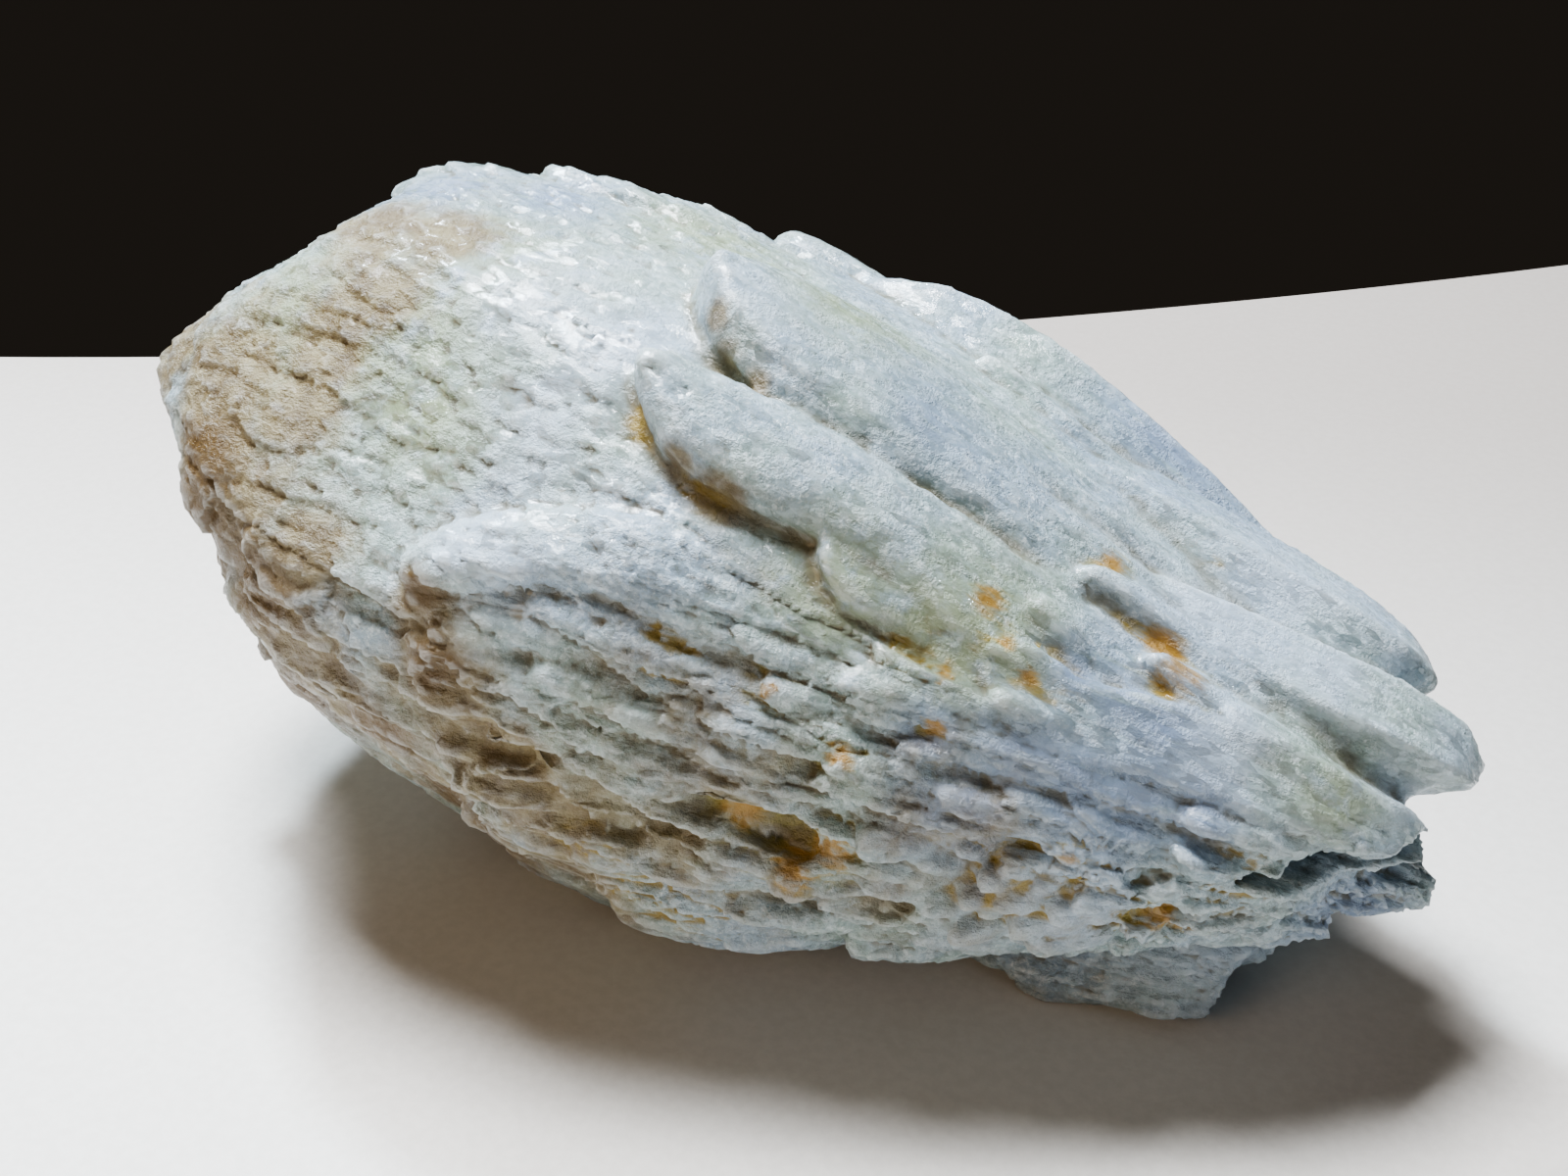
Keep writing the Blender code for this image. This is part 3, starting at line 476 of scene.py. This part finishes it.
def splinter(dice, x, turn, length, width, stands_out, shape):
    """A small ledge from its blunt free end towards the root of the fan."""
    length = min(length, 54.0 - x)
    far, far_turn = towards_root(x, turn, length)
    far_turn += dice.uniform(-2.0, 2.0)
    reach = max(np.linalg.norm(skin(x, turn)[1:] - section_at(x)[:2]), 5.0)
    half = math.degrees(width / 2 / reach)
    stations = [
        (x + (far - x) * t, turn + (far_turn - turn) * t - half * w, x + (far - x) * (t + 0.06),
         turn + (far_turn - turn) * t + half * w)
        for t, w in ((0.0, 0.4), (0.08, 0.85), (0.4, 1.0), (0.94, 0.7))
    ]
    return ledge(stands_out, shape, stations, rings=8)


def scattered(dice, count, along, around, length, width, stands_out):
    """Splinters at random places of a band of the skin, clear of the pill-shaped crystals."""
    made = []
    for _ in range(count):
        size = dice.uniform(0.6, 1.5)
        x, turn = dice.uniform(*along), dice.uniform(*around)
        if not (PILLS[0][0] - 3 < x < PILLS[0][1] + 1 and PILLS[1][0] - 1 < turn < PILLS[1][1] + 1):
            made.append(splinter(dice, x, turn, length * size, width * size, stands_out * size, "leaning"))
    return made


def pills(dice, along, around, length, width):
    """Short round crystals in rows, each row half a step off the last."""
    made = []
    for row, turn in enumerate(np.arange(*around, PILL_ROW)):
        for x in np.arange(*along, length * 0.8) + (row % 2) * length * 0.4:
            size = dice.uniform(0.7, 1.25)
            place = x + dice.uniform(-1.0, 1.0), turn + dice.uniform(-0.8, 0.8)
            made.append(splinter(dice, *place, length * size * 1.3, width * size, PILL_HEIGHT * size, "round"))
    return made


def joined(surfaces):
    """One list of points and triangles from many."""
    starts = np.cumsum([0] + [len(points) for points, _ in surfaces[:-1]])
    return (
        np.vstack([points for points, _ in surfaces]),
        np.vstack([triangles + start for (_, triangles), start in zip(surfaces, starts)]),
    )


def mesh_object(name, points, triangles):
    """Puts points in mm and triangles into a new object."""
    mesh = bpy.data.meshes.new(name)
    mesh.vertices.add(len(points))
    mesh.vertices.foreach_set("co", (points * MM).astype(np.float32).ravel())
    mesh.loops.add(len(triangles) * 3)
    mesh.loops.foreach_set("vertex_index", triangles.astype(np.int32).ravel())
    mesh.polygons.add(len(triangles))
    mesh.polygons.foreach_set("loop_start", np.arange(0, len(triangles) * 3, 3, dtype=np.int32))
    mesh.update(calc_edges=True)
    mesh.validate()
    obj = bpy.data.objects.new(name, mesh)
    bpy.context.scene.collection.objects.link(obj)
    return obj


def modified(obj):
    """Turns an object's modifiers into its mesh."""
    graph = bpy.context.evaluated_depsgraph_get()
    mesh = bpy.data.meshes.new_from_object(obj.evaluated_get(graph))
    old = obj.data
    obj.modifiers.clear()
    obj.data = mesh
    bpy.data.meshes.remove(old)


def points_of(mesh):
    """A mesh's points in mm (n, 3)."""
    points = np.empty(len(mesh.vertices) * 3, np.float32)
    mesh.vertices.foreach_get("co", points)
    return points.reshape(-1, 3).astype(float) / MM


def normals_of(mesh):
    """Unit vectors out of the surface at a mesh's points (n, 3)."""
    normals = np.empty(len(mesh.vertices) * 3, np.float32)
    mesh.vertex_normals.foreach_get("vector", normals)
    return normals.reshape(-1, 3).astype(float)


def edges_of(mesh):
    """The two points of each of a mesh's edges (n, 2)."""
    edges = np.empty(len(mesh.edges) * 2, np.int32)
    mesh.edges.foreach_get("vertices", edges)
    return edges.reshape(-1, 2)


def fused():
    """Everything that grew together, as one closed surface of even small faces."""
    dice = np.random.default_rng(SEED)
    surfaces = [mass_surface()]
    surfaces += [ledge(*entry) for entry in LEDGES]
    surfaces += [clear_crystal(*entry) for entry in CLEAR_CRYSTALS]
    for band in SPLINTERS:
        surfaces += scattered(dice, *band)
    surfaces += pills(dice, *PILLS)
    stone = mesh_object("stone_in_the_rough", *joined(surfaces))
    gaps = mesh_object("gaps", *joined([gap(*entry) for entry in GAPS]))
    remesh = stone.modifiers.new("Fuse", "REMESH")
    remesh.mode = "VOXEL"
    remesh.voxel_size = VOXEL * MM
    modified(stone)
    cut = stone.modifiers.new("Open gaps", "BOOLEAN")
    cut.operation = "DIFFERENCE"
    cut.solver = "MANIFOLD"
    cut.object = gaps
    modified(stone)
    remesh = stone.modifiers.new("Even out", "REMESH")
    remesh.mode = "VOXEL"
    remesh.voxel_size = VOXEL * MM
    modified(stone)
    bpy.data.objects.remove(gaps)
    return stone


def hashed(cells, seed):
    """A number from 0 to 1 for each whole-numbered cell (n, 3): a sine of a mixed sum, its digits kept."""
    mixed = cells @ np.array((127.1, 311.7, 74.7)) + seed * 53.3
    return np.abs(np.sin(mixed) * 43758.5453) % 1.0


def noise(points, seed=0):
    """Value noise from -1 to 1: random corner values of the unit cell, blended smoothly."""
    low = np.floor(points)
    t = points - low
    t = t * t * (3 - 2 * t)
    total = np.zeros(len(points))
    for corner in np.ndindex(2, 2, 2):
        corner = np.array(corner)
        weight = np.prod(np.where(corner == 1, t, 1 - t), axis=1)
        total += weight * hashed(low + corner, seed)
    return total * 2 - 1


def cloud(points, octaves=4, seed=0):
    """Noise at several scales, each half as large and half as strong as the last."""
    return sum(noise(points * 2**k, seed + k) * 0.5**k for k in range(octaves))


def grains(points, seed=0):
    """Cells round one random point per unit cell: distance to the nearest and the second nearest point, a
    random number per nearest point, and the offset from it."""
    low = np.floor(points)
    first = np.full(len(points), 9.0)
    second = np.full(len(points), 9.0)
    number = np.zeros(len(points))
    offset = np.zeros_like(points)
    for step in np.ndindex(3, 3, 3):
        cell = low + np.array(step) - 1
        centre = cell + np.stack([hashed(cell, seed + k) for k in (1, 2, 3)], -1)
        away = points - centre
        distance = np.linalg.norm(away, axis=1)
        nearer = distance < first
        second = np.where(nearer, first, np.minimum(second, distance))
        first = np.where(nearer, distance, first)
        number = np.where(nearer, hashed(cell, seed + 7), number)
        offset = np.where(nearer[:, None], away, offset)
    return first, second, number, offset


def fan_place(points):
    """Places in the fan of crystals: distance from its root, and two angles across it as lengths at the
    fan's usual reach."""
    out = points - FAN_ROOT
    distance = np.linalg.norm(out, axis=1)
    sideways = np.arctan2(out[:, 1], -out[:, 0]) * FAN_REACH
    upward = np.arcsin(out[:, 2] / distance) * FAN_REACH
    return np.stack([distance, sideways, upward], -1)


def scales(place, length, width, seed):
    """Crystal scales: stretched cells, each highest at its point and its lower side and sloping down to its
    root and its upper side, with its own height and a groove at its edge. About -1 to 1."""
    first, second, number, offset = grains(place / np.array((length, width, width)), seed)
    tooth = np.clip(offset[:, 0] * 1.3, -0.7, 0.7)
    lean = np.clip(offset[:, 2] * 1.0 + offset[:, 1] * 0.5, -0.7, 0.7)
    edge = np.clip((second - first) * 5.0, 0, 1)
    return tooth * 0.8 - lean * 0.9 + (number - 0.5) * 0.9 - (1 - edge) * 0.12


def near(points, spots):
    """How much each point belongs to a group of soft round spots (x, y, z, radius)."""
    total = np.zeros(len(points))
    for x, y, z, radius in spots:
        distance = np.linalg.norm(points - np.array((x, y, z)), axis=1)
        total = np.maximum(total, np.exp(-((distance / radius) ** 2)))
    return total


def grooved(points):
    """Depth of the grooves at each point: soft round furrows along lines in the skin."""
    total = np.zeros(len(points))
    for depth, half, line in GROOVES:
        line = np.array(line, float)
        t = np.linspace(0, len(line) - 1, 12 * len(line))
        path = skin(*(np.interp(t, np.arange(len(line)), column) for column in line.T))
        fade = np.clip(np.minimum(t, len(line) - 1 - t) * 2.0 + 0.3, 0, 1)
        for (x, y, z), strength in zip(path, fade):
            distance = np.linalg.norm(points - np.array((x, y, z)), axis=1) / half
            total = np.maximum(total, depth * strength * np.exp(-(distance**2) / 2.5))
    return total


def between(value, low, high):
    """0 below low, 1 above high and smooth between them."""
    t = np.clip((value - low) / (high - low), 0, 1)
    return t * t * (3 - 2 * t)


def spread(values, edges, rounds):
    """Values averaged over the neighbours, a number of times."""
    count = np.zeros(len(values)) + 1e-9
    np.add.at(count, edges[:, 0], 1)
    np.add.at(count, edges[:, 1], 1)
    shape = (-1,) + (1,) * (values.ndim - 1)
    for _ in range(rounds):
        total = np.zeros_like(values)
        np.add.at(total, edges[:, 0], values[edges[:, 1]])
        np.add.at(total, edges[:, 1], values[edges[:, 0]])
        values = 0.5 * values + 0.5 * total / count.reshape(shape)
    return values


def smooth_crystals(points):
    """1 on the crests of the long crystals, where the skin has only fine grain, and 0 away from them."""
    total = np.zeros(len(points))
    for height, shape, stations in LEDGES[:3]:
        stations = np.array(stations)
        ends = skin(stations[:, 0], stations[:, 1]), skin(stations[:, 2], stations[:, 3])
        middle, width = (ends[0] + ends[1]) / 2, np.linalg.norm(ends[1] - ends[0], axis=1)
        for (x, y, z), wide in zip(middle, np.maximum(width, 4.0)):
            distance = np.linalg.norm(points - np.array((x, y, z)), axis=1)
            total = np.maximum(total, np.exp(-((distance / (wide * 0.6)) ** 4)))
    for thickness, facing, rows in CLEAR_CRYSTALS[:3] + CLEAR_CRYSTALS[5:6]:
        for x, y, z, width in smooth_rows(rows, 12):
            distance = np.linalg.norm(points - np.array((x, y, z)), axis=1)
            total = np.maximum(total, np.exp(-((distance / (width * 0.8)) ** 4)))
    return total


def relief(points, normals):
    """How far the fine relief lifts each point, in mm: scales of three sizes, strong on the front and weak on
    the long crystals and the dome of the wide end, then slow waves, grain, the rim's pits and the grooves."""
    place = fan_place(points)
    x, y, z = points.T
    middle = section_at(np.clip(x, SECTIONS[0, 0], SECTIONS[-1, 0]))
    turn = np.degrees(np.arctan2(z - middle[:, 1], middle[:, 0] - y))
    pill_field = near(points, PILL_FIELD)
    calm = np.maximum(smooth_crystals(points), pill_field)
    dome = between(x, -6, -16) * between(turn, 22, 34) * between(turn, 150, 120)
    front = between(turn, 24, 12) * between(turn, -50, -30)
    front = np.maximum(front, 0.7 * between(turn, 34, 24) * between(turn, -50, -30) * between(x, -8, 4))
    rim = near(points, RIM)
    rough = np.clip(0.42 + 0.45 * front - 0.25 * dome - 0.5 * calm + 0.12 * rim - 0.45 * pill_field, 0.03, 1.0)
    lift = 0.52 * rough * scales(place, *LONG_SCALES)
    lift += 0.30 * np.clip(rough + 0.08, 0, 1) * scales(place, *SHORT_SCALES)
    lift += (0.13 + 0.04 * dome) * (1 - 0.8 * calm) * scales(place, *FINE_SCALES)
    lift += 0.35 * (1 - 0.6 * calm) * noise(points / 13.0, 31)
    lift += (0.09 + 0.04 * dome) * cloud(points / 1.4, 2, 41)
    pits = grains(points / 1.5, 51)[0]
    lift -= 0.25 * rim * between(pits, 0.45, 0.1)
    lift -= grooved(points)
    return lift


def camera_back():
    """Unit vector from what the camera looks at towards the camera."""
    turn, height = math.radians(CAMERA_TURN), math.radians(CAMERA_HEIGHT)
    return Vector((math.sin(turn) * math.cos(height), -math.cos(turn) * math.cos(height), math.sin(height)))


def places_seen(stone, spots):
    """Spots marked on the photograph (across, down, radius) as spots on the stone (x, y, z, radius): each goes
    to where the camera's line of sight through its pixel first meets the surface."""
    bpy.context.view_layer.update()
    back = camera_back()
    right = Vector((0.0, 0.0, 1.0)).cross(back).normalized()
    up = back.cross(right)
    eye = CAMERA_AIM + back * CAMERA_DISTANCE
    pixel = SENSOR / CAMERA_LENS / PHOTO[0]
    places = []
    for across, down, radius in spots:
        sideways, upward = (across - PHOTO[0] / 2) * pixel, (PHOTO[1] / 2 - down) * pixel
        met, place, _, _ = stone.ray_cast(eye, (right * sideways + up * upward - back).normalized())
        if met:
            places.append((*(place / MM), radius))
    return places


def paint(mesh, name, values):
    """Keeps a number or three per vertex for the material to read."""
    kind, field = ("FLOAT", "value") if values.ndim == 1 else ("FLOAT_VECTOR", "vector")
    attribute = mesh.attributes.new(name, kind, "POINT")
    attribute.data.foreach_set(field, values.astype(np.float32).ravel())


def finished_stone():
    """The fused surface with its fine relief, thinned to its final faces, and its tints."""
    stone = fused()
    mesh = stone.data
    points, normals, edges = points_of(mesh), normals_of(mesh), edges_of(mesh)
    normals = spread(normals, edges, 3)
    normals /= np.linalg.norm(normals, axis=1, keepdims=True)
    points = points + normals * relief(points, normals)[:, None]
    points[:, 2] = np.maximum(points[:, 2], 0.0)
    mesh.vertices.foreach_set("co", (points * MM).astype(np.float32).ravel())
    mesh.update()
    thin = stone.modifiers.new("Thin out", "DECIMATE")
    mesh.calc_loop_triangles()
    thin.ratio = min(1.0, TRIANGLES / len(mesh.loop_triangles))
    modified(stone)
    mesh = stone.data
    points, normals, edges = points_of(mesh), normals_of(mesh), edges_of(mesh)
    # Hollows and creases: the material paints shade from these and the grooves; stains follow the creases.
    wide = spread(points, edges, 24)
    fine = spread(points, edges, 4)
    hollow = ((wide - points) * normals).sum(1)
    crack = ((fine - points) * normals).sum(1)
    paint(mesh, "hollow", hollow)
    paint(mesh, "crack", crack)
    paint(mesh, "fan", fan_place(points))
    paint(mesh, "groove", np.clip(grooved(points), 0, 1.5) / 1.5)
    for name, placed in TINTS_PLACED.items():
        spots = places_seen(stone, TINTS_SEEN[name]) + list(placed)
        paint(mesh, name, near(points, spots))
        if name == "rust":
            paint(mesh, "rust_halo", near(points, [(x, y, z, radius * HALO) for x, y, z, radius in spots]))
    mesh.polygons.foreach_set("use_smooth", np.ones(len(mesh.polygons), bool))
    return stone


class Nodes:
    """Builds a material's nodes with few words."""

    def __init__(self, name):
        self.material = bpy.data.materials.new(name)
        self.material.use_nodes = True
        self.tree = self.material.node_tree
        self.shader = self.tree.nodes["Principled BSDF"]

    def add(self, kind, inputs=(), **settings):
        """A node with these settings and inputs, each input a value or a socket to link."""
        node = self.tree.nodes.new(kind)
        for name, value in settings.items():
            setattr(node, name, value)
        for key, value in dict(inputs).items():
            self.put(node.inputs[key], value)
        return node

    def put(self, socket, value):
        if isinstance(value, bpy.types.NodeSocket):
            self.tree.links.new(value, socket)
        else:
            socket.default_value = value

    def value(self, name):
        return self.add("ShaderNodeAttribute", attribute_name=name).outputs["Fac"]

    def vector(self, name):
        return self.add("ShaderNodeAttribute", attribute_name=name).outputs["Vector"]

    def math(self, operation, a, b=0.0, clamp=False):
        node = self.add("ShaderNodeMath", {0: a, 1: b}, operation=operation, use_clamp=clamp)
        return node.outputs[0]

    def ramp(self, value, low, high, start=0.0, end=1.0):
        """The value mapped from low..high to start..end, smooth and kept inside."""
        node = self.add("ShaderNodeMapRange", {"Value": value, "From Min": low, "From Max": high,
                                               "To Min": start, "To Max": end}, interpolation_type="SMOOTHSTEP")
        return node.outputs[0]

    def stretched(self, vector, scale):
        node = self.add("ShaderNodeVectorMath", {0: vector, 1: scale}, operation="MULTIPLY")
        return node.outputs[0]

    def noise(self, vector, scale, detail=3.0, roughness=0.55):
        node = self.add("ShaderNodeTexNoise", {"Vector": vector, "Scale": scale, "Detail": detail,
                                               "Roughness": roughness})
        return node.outputs["Fac"]

    def stain(self, name, crack, speckle, reach, in_cracks):
        """A ragged stain: its spots, eaten into by noise and drawn along the cracks."""
        ragged = self.math("MULTIPLY", self.math("SUBTRACT", speckle, 0.5), 1.9)
        total = self.math("ADD", self.math("MULTIPLY", self.value(name), reach), ragged)
        total = self.math("ADD", total, self.math("MULTIPLY", crack, in_cracks))
        spots = self.ramp(self.value(name), 0.05, 0.3)
        return self.math("MULTIPLY", self.ramp(total, 0.25, 1.25), spots)

    def blend(self, share, one, two):
        """Colour one where share is 0 and two where it is 1."""
        node = self.add("ShaderNodeMix", {0: share, 6: one, 7: two}, data_type="RGBA", clamp_factor=True)
        return node.outputs[2]


def colour(red, green, blue):
    """An opaque colour."""
    return (red, green, blue, 1.0)


def quartz_material():
    """Frosted green-white quartz: a clouded base with sugar grain, the painted tints eaten into by noise, painted
    shade in hollows, grooves and creases (olive, nearly black in the deepest hollows), soil-coloured and dark
    stains that are partly painted shade, paler crests as a painted highlight, ochre and rust along the cracks,
    and flat facets that glint."""
    n = Nodes("frosted_prase_quartz")
    fan = n.vector("fan")
    obj = n.add("ShaderNodeTexCoord").outputs["Object"]
    hollow, crack = n.value("hollow"), n.value("crack")
    long_grain = n.stretched(fan, (0.12, 1.0, 1.0))
    streaks = n.noise(long_grain, 0.9, 5.0, 0.6)
    clouds = n.noise(obj, 90.0, 4.0, 0.55)
    mottle = n.noise(obj, 420.0, 3.0, 0.6)
    blotches = n.noise(obj, 170.0, 5.0, 0.65)
    speckle = n.noise(n.stretched(fan, (0.3, 1.0, 1.0)), 0.9, 4.0, 0.65)
    base = n.blend(n.ramp(clouds, 0.35, 0.65), colour(0.29, 0.37, 0.33), colour(0.28, 0.36, 0.44))
    base = n.blend(n.ramp(streaks, 0.45, 0.75, 0.0, 0.35), base, colour(0.40, 0.49, 0.55))
    cells = n.add("ShaderNodeTexVoronoi", {"Vector": obj, "Scale": 1100.0})
    base = n.blend(n.ramp(cells.outputs["Color"], 0.5, 1.0, 0.0, 0.35), base, colour(0.60, 0.67, 0.70))
    base = n.blend(n.ramp(cells.outputs["Color"], 0.5, 0.0, 0.0, 0.35), base, colour(0.16, 0.20, 0.19))
    sugar_grain = n.noise(obj, 1500.0, 3.0, 0.75)
    base = n.blend(n.ramp(sugar_grain, 0.52, 0.70, 0.0, 0.65), base, colour(0.62, 0.68, 0.70))
    base = n.blend(n.ramp(sugar_grain, 0.48, 0.32, 0.0, 0.6), base, colour(0.18, 0.22, 0.20))
    # Pale tint: real pale crystal, and painted light on the dome's glare and on the lit foot.
    chalk_and_highlight = n.math("MULTIPLY", n.value("chalk_and_highlight"), n.ramp(clouds, 0.25, 0.55), True)
    base = n.blend(n.math("MULTIPLY", chalk_and_highlight, 0.75), base, colour(0.43, 0.51, 0.60))
    # Olive tint, partly painted shade on the dome's far top.
    green = n.math("MULTIPLY", n.value("green"), n.ramp(mottle, 0.25, 0.55), True)
    base = n.blend(n.math("MULTIPLY", green, 0.8), base, colour(0.26, 0.30, 0.16))
    # Blue-grey tint, partly painted shade on the end slab and the dome's far top.
    slate = n.math("MULTIPLY", n.value("slate"), n.ramp(streaks, 0.20, 0.50), True)
    base = n.blend(n.math("MULTIPLY", slate, 0.9), base, colour(0.20, 0.26, 0.37))
    # Painted shade: olive in hollows and grooves, nearly black in the deepest hollows, dark in fine creases.
    base = n.blend(n.ramp(hollow, 0.05, 0.9, 0.0, 0.75), base, colour(0.25, 0.20, 0.085))
    base = n.blend(n.math("MULTIPLY", n.value("groove"), 0.6), base, colour(0.26, 0.20, 0.09))
    base = n.blend(n.ramp(hollow, 0.9, 2.2, 0.0, 0.75), base, colour(0.05, 0.05, 0.04))
    base = n.blend(n.ramp(crack, 0.02, 0.20, 0.0, 0.65), base, colour(0.13, 0.12, 0.08))
    # Soil-coloured stain, partly painted shade: warmer and darker on the front and the lower left.
    stain_and_shade_reach = n.math("ADD", n.value("earth_and_shade"), n.math("MULTIPLY", n.math("SUBTRACT", blotches, 0.5), 1.5))
    stain_and_shade_colour = n.blend(n.ramp(mottle, 0.35, 0.65), colour(0.145, 0.095, 0.032), colour(0.25, 0.20, 0.10))
    within = n.ramp(n.value("earth_and_shade"), 0.02, 0.35, 0.0, 0.9)
    base = n.blend(n.math("MULTIPLY", n.ramp(stain_and_shade_reach, 0.10, 0.85), within), base, stain_and_shade_colour)
    # Dark brown: a real stain, and painted shade on the underside of the wide end.
    brown_stain_and_shade = n.math("MULTIPLY", n.ramp(n.value("brown"), 0.1, 0.9), n.ramp(blotches, 0.25, 0.60, 0.6, 0.95))
    base = n.blend(brown_stain_and_shade, base, colour(0.115, 0.066, 0.015))
    # Painted highlight: paler crests.
    base = n.blend(n.ramp(crack, -0.02, -0.20, 0.0, 0.28), base, colour(0.60, 0.64, 0.65))
    ochre = n.stain("ochre", crack, speckle, 0.55, 4.0)
    base = n.blend(n.math("MULTIPLY", ochre, 0.85), base, colour(0.27, 0.19, 0.025))
    halo = n.stain("rust_halo", crack, speckle, 0.7, 2.0)
    base = n.blend(n.math("MULTIPLY", halo, 0.6), base, colour(0.38, 0.33, 0.06))
    rust = n.stain("rust", crack, speckle, 1.25, 2.0)
    base = n.blend(n.math("MULTIPLY", rust, 0.8), base, colour(0.36, 0.19, 0.03))
    n.put(n.shader.inputs["Base Color"], base)

    flakes = n.stretched(fan, (0.5, 1.0, 1.0))
    sugar = n.add("ShaderNodeTexVoronoi", {"Vector": flakes, "Scale": 1.25})
    tilt = n.add("ShaderNodeVectorMath", {0: sugar.outputs["Color"], 1: (0.5, 0.5, 0.5)}, operation="SUBTRACT")
    inside = n.add("ShaderNodeVectorMath", {0: flakes, 1: sugar.outputs["Position"]}, operation="SUBTRACT")
    facet = n.add("ShaderNodeVectorMath", {0: inside.outputs[0], 1: tilt.outputs[0]}, operation="DOT_PRODUCT")
    fine = n.noise(obj, 2200.0, 3.0, 0.75)
    grain = n.noise(long_grain, 3.0, 5.0, 0.7)
    clean = n.ramp(n.value("earth_and_shade"), 0.5, 0.1, 0.3, 1.0)
    glint = n.math("MULTIPLY", n.ramp(sugar.outputs["Color"], 0.54, 0.56), clean)
    frost = n.math("ADD", n.math("MULTIPLY", grain, 0.4), n.math("MULTIPLY", fine, 0.8))
    frost = n.math("MULTIPLY", frost, n.math("SUBTRACT", 1.0, n.math("MULTIPLY", glint, 0.78)))
    height = n.math("ADD", n.math("MULTIPLY", facet.outputs["Value"], 1.1), frost)
    bump = n.add("ShaderNodeBump", {"Height": height, "Strength": 0.8, "Distance": 0.0006})
    n.put(n.shader.inputs["Normal"], bump.outputs[0])
    rough = n.math("SUBTRACT", n.ramp(mottle, 0.2, 0.8, 0.44, 0.60), n.math("MULTIPLY", glint, 0.42), True)
    n.put(n.shader.inputs["Roughness"], rough)
    n.put(n.shader.inputs["Subsurface Weight"], 0.25)
    n.put(n.shader.inputs["Subsurface Radius"], (1.0, 1.0, 0.9))
    n.put(n.shader.inputs["Subsurface Scale"], 0.0016)
    n.put(n.shader.inputs["IOR"], 1.54)
    n.put(n.shader.inputs["Coat Weight"], 0.15)
    n.put(n.shader.inputs["Coat Roughness"], 0.14)
    return n.material


def paper_material():
    """Plain cream paper with a faint tooth, with painted shade: dimmer and browner towards the back."""
    n = Nodes("cream_paper")
    obj = n.add("ShaderNodeTexCoord").outputs["Object"]
    tooth = n.noise(obj, 900.0, 4.0, 0.6)
    cream = n.blend(n.ramp(tooth, 0.3, 0.7), colour(0.74, 0.72, 0.68), colour(0.79, 0.77, 0.73))
    depth = n.add("ShaderNodeSeparateXYZ", {0: obj}).outputs["Y"]
    # Painted shade: the paper darkens towards the back, as light falls off.
    dim = n.ramp(depth, -0.08, 0.13, 0.0, 0.7)
    n.put(n.shader.inputs["Base Color"], n.blend(dim, cream, colour(0.20, 0.15, 0.12)))
    bump = n.add("ShaderNodeBump", {"Height": tooth, "Strength": 0.15, "Distance": 0.0002})
    n.put(n.shader.inputs["Normal"], bump.outputs[0])
    n.put(n.shader.inputs["Roughness"], 0.85)
    return n.material


def add_paper():
    """The sheet that the stone lies on: a flat grid whose back edge runs slantwise, a little curved."""
    left, right, front, back = PAPER
    columns, rows = 121, 40
    slant, bend, bend_middle, bend_half = 0.5, 0.010, -0.03, 0.11
    x, share = np.meshgrid(np.linspace(left, right, columns), np.linspace(0, 1, rows), indexing="ij")
    edge = back + slant * x + bend * np.clip((x - bend_middle) / bend_half, -2, 2) ** 2
    y = front + (edge - front) * share
    z = np.zeros_like(x) - 0.0002
    points = np.stack([x, y, z], -1).reshape(-1, 3) / MM
    column, row = np.meshgrid(np.arange(columns - 1), np.arange(rows - 1), indexing="ij")
    a = (column * rows + row).ravel()
    triangles = np.vstack([np.stack([a, a + rows, a + 1], -1), np.stack([a + rows, a + rows + 1, a + 1], -1)])
    paper = mesh_object("paper", points, triangles)
    paper.data.materials.append(paper_material())


def add_light(name, place, aim, size, power, tint):
    """A soft square light at a place, turned towards a point."""
    data = bpy.data.lights.new(name, "AREA")
    data.shape = "RECTANGLE"
    data.size, data.size_y = size
    data.energy = power
    data.color = tint
    light = bpy.data.objects.new(name, data)
    light.location = place
    light.rotation_mode = "QUATERNION"
    light.rotation_quaternion = (Vector(aim) - Vector(place)).to_track_quat("-Z", "Y")
    bpy.context.scene.collection.objects.link(light)


def add_camera():
    """The camera of the photograph: turned round the stone and raised, looking at its middle."""
    back = camera_back()
    data = bpy.data.cameras.new("camera")
    data.lens = CAMERA_LENS
    data.sensor_width = SENSOR
    data.clip_start = 0.01
    camera = bpy.data.objects.new("camera", data)
    camera.location = CAMERA_AIM + back * CAMERA_DISTANCE
    camera.rotation_mode = "QUATERNION"
    camera.rotation_quaternion = (-back).to_track_quat("-Z", "Y")
    bpy.context.scene.collection.objects.link(camera)
    bpy.context.scene.camera = camera


def add_surroundings():
    """Dim warm air, a soft light nearly overhead, a small cool lamp behind on the left for the glints, and weak
    lights in front and on the right."""
    world = bpy.data.worlds.new("dim_room")
    world.use_nodes = True
    world.node_tree.nodes["Background"].inputs["Color"].default_value = colour(1.0, 0.85, 0.70)
    world.node_tree.nodes["Background"].inputs["Strength"].default_value = 0.02
    bpy.context.scene.world = world
    bpy.context.scene.view_settings.look = "AgX - Medium High Contrast"
    add_light("ceiling", (-0.13, 0.07, 0.54), (-0.02, 0, 0.02), (0.18, 0.18), 7.4, (0.94, 0.96, 1.0))
    add_light("lamp", (-0.22, 0.19, 0.44), (0, 0, 0.03), (0.05, 0.05), 4.0, (0.74, 0.88, 1.0))
    add_light("window", (0.36, -0.24, 0.20), (0.02, 0, 0.02), (0.30, 0.30), 0.16, (0.66, 0.82, 1.0))
    add_light("room", (-0.25, -0.40, 0.22), (0, 0, 0.02), (0.30, 0.20), 0.60, (1.0, 0.72, 0.46))


stone = finished_stone()
stone.name = "prase_quartz_stone"
stone.data.materials.clear()
stone.data.materials.append(quartz_material())
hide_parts("prase_quartz")
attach(stone, "root")
add_paper()
add_surroundings()
add_camera()
